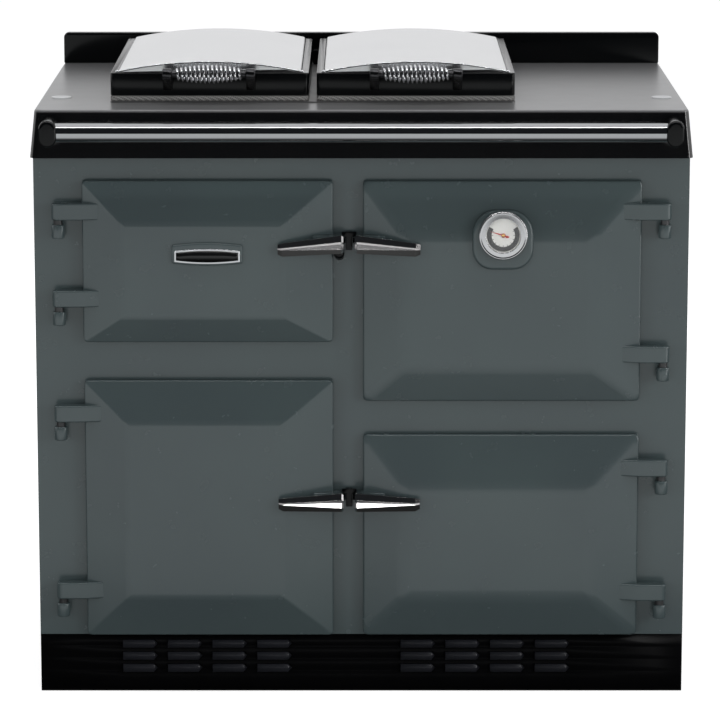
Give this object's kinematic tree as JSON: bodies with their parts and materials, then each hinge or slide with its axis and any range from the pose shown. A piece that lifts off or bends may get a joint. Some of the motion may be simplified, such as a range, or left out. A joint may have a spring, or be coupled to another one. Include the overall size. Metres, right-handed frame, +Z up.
{
  "type": "cast iron range cooker",
  "caption": "Free-standing cast iron range cooker with enamelled oven doors on lift-off hinges, lever latches, domed hob lids with coil handles, towel rail, louvred plinth and rear flue.",
  "frame": {"origin": "middle of the footprint on the floor, at the bottom centre of the bounding box", "axes": "+X to the viewer's right, +Y from the front towards the wall, +Z up"},
  "size_m": [0.988, 0.73, 0.9624],
  "materials": {
    "slate_enamel_casting": "gloss vitreous enamel, slate blue-grey",
    "slate_enamel_sheet": "gloss vitreous enamel, slate blue-grey",
    "black_enamel_casting": "gloss black vitreous enamel",
    "black_enamel_sheet": "gloss black vitreous enamel",
    "machined_iron": "ground cast iron",
    "raw_iron": "as cast",
    "brushed_stainless": "brushed",
    "bright_chrome": "polished",
    "bright_steel": "turned",
    "galvanised_sheet": "galvanised",
    "glass_rope": "braided",
    "mineral_board": "matt",
    "dial_white": "satin",
    "pointer_red": "satin",
    "clear_glass": "clear",
    "badge_black": "gloss",
    "burner_paint": "satin",
    "control_black": "satin",
    "knob_black": "gloss"
  },
  "bodies": {
    "cabinet": {"levelling_feet": "bright_steel", "base_plate": "raw_iron", "plinth": "black_enamel_sheet", "front_plate": "slate_enamel_casting", "top_plate": "black_enamel_casting", "rear_upstand": "black_enamel_casting", "hotplate": "machined_iron", "lid_seals": "glass_rope", "bolt_caps": "black_enamel_sheet", "rail_tube": "brushed_stainless", "rail_brackets": "black_enamel_casting", "left_side_panel": "slate_enamel_sheet", "right_side_panel": "slate_enamel_sheet", "rear_panel": "galvanised_sheet", "door_seals": "glass_rope", "hinge_knuckles": "slate_enamel_casting", "hinge_pins": "bright_steel", "latch_keepers": "black_enamel_casting", "lid_hinge_blocks": "black_enamel_casting", "lid_hinge_pins": "bright_steel", "insulation_boards": "mineral_board", "main_oven": "raw_iron", "lower_oven": "raw_iron", "oven_shelves": "bright_chrome", "combustion_chamber": "raw_iron", "flue_outlet": "raw_iron", "burner": "burner_paint", "control_panel": "control_black"},
    "upper_left_door": {"upper_left_door": "slate_enamel_casting", "upper_left_door_liner": "raw_iron", "badge_rim": "bright_chrome", "badge_inlay": "badge_black"},
    "upper_left_latch": {"upper_left_latch_lever": "black_enamel_casting", "upper_left_latch_spindle": "bright_steel"},
    "lower_left_door": {"lower_left_door": "slate_enamel_casting", "lower_left_door_liner": "raw_iron"},
    "lower_left_latch": {"lower_left_latch_lever": "black_enamel_casting", "lower_left_latch_spindle": "bright_steel"},
    "upper_right_door": {"upper_right_door": "slate_enamel_casting", "upper_right_door_liner": "raw_iron", "thermometer_case": "bright_steel", "thermometer_dial": "dial_white", "thermometer_bezel": "bright_chrome", "thermometer_glass": "clear_glass"},
    "upper_right_latch": {"upper_right_latch_lever": "black_enamel_casting", "upper_right_latch_spindle": "bright_steel"},
    "lower_right_door": {"lower_right_door": "slate_enamel_casting", "lower_right_door_liner": "raw_iron"},
    "lower_right_latch": {"lower_right_latch_lever": "black_enamel_casting", "lower_right_latch_spindle": "bright_steel"},
    "pointer": {"thermometer_pointer": "pointer_red"},
    "thermostat": {"thermostat_knob": "knob_black"},
    "left_lid": {"left_lid_rim": "black_enamel_casting", "left_lid_dome": "brushed_stainless", "left_lid_handle_mounts": "black_enamel_casting", "left_lid_handle_coil": "bright_chrome"},
    "right_lid": {"right_lid_rim": "black_enamel_casting", "right_lid_dome": "brushed_stainless", "right_lid_handle_mounts": "black_enamel_casting", "right_lid_handle_coil": "bright_chrome"}
  },
  "joints": [
    {"name": "upper_left_door_hinge", "type": "hinge", "parent": "cabinet", "child": "upper_left_door", "pos_m": [-0.4535, -0.305, 0.6], "axis": [0, 0, -1], "range_deg": [0, 120]},
    {"name": "lower_left_door_hinge", "type": "hinge", "parent": "cabinet", "child": "lower_left_door", "pos_m": [-0.4535, -0.305, 0.3], "axis": [0, 0, -1], "range_deg": [0, 120]},
    {"name": "upper_right_door_hinge", "type": "hinge", "parent": "cabinet", "child": "upper_right_door", "pos_m": [0.4535, -0.305, 0.6], "axis": [0, 0, 1], "range_deg": [0, 120]},
    {"name": "lower_right_door_hinge", "type": "hinge", "parent": "cabinet", "child": "lower_right_door", "pos_m": [0.4535, -0.305, 0.3], "axis": [0, 0, 1], "range_deg": [0, 120]},
    {"name": "upper_left_latch_turn", "type": "hinge", "parent": "upper_left_door", "child": "upper_left_latch", "pos_m": [-0.038, -0.316, 0.702], "axis": [0, 1, 0], "range_deg": [0, 45]},
    {"name": "lower_left_latch_turn", "type": "hinge", "parent": "lower_left_door", "child": "lower_left_latch", "pos_m": [-0.038, -0.316, 0.3075], "axis": [0, 1, 0], "range_deg": [0, 45]},
    {"name": "upper_right_latch_turn", "type": "hinge", "parent": "upper_right_door", "child": "upper_right_latch", "pos_m": [0.001, -0.316, 0.702], "axis": [0, -1, 0], "range_deg": [0, 45]},
    {"name": "lower_right_latch_turn", "type": "hinge", "parent": "lower_right_door", "child": "lower_right_latch", "pos_m": [0.001, -0.316, 0.3075], "axis": [0, -1, 0], "range_deg": [0, 45]},
    {"name": "left_lid_hinge", "type": "hinge", "parent": "cabinet", "child": "left_lid", "pos_m": [-0.229, 0.27, 0.94], "axis": [-1, 0, 0], "range_deg": [0, 85]},
    {"name": "right_lid_hinge", "type": "hinge", "parent": "cabinet", "child": "right_lid", "pos_m": [0.082, 0.27, 0.94], "axis": [-1, 0, 0], "range_deg": [0, 85]},
    {"name": "pointer_turn", "type": "hinge", "parent": "upper_right_door", "child": "pointer", "pos_m": [0.211, -0.3335, 0.716], "axis": [0, 1, 0], "range_deg": [-35, 160], "stiffness_Nm_per_rad": 0.004},
    {"name": "thermostat_turn", "type": "hinge", "parent": "cabinet", "child": "thermostat", "pos_m": [-0.1503, -0.24, 0.424], "axis": [0, 1, 0], "range_deg": [0, 270]}
  ]
}
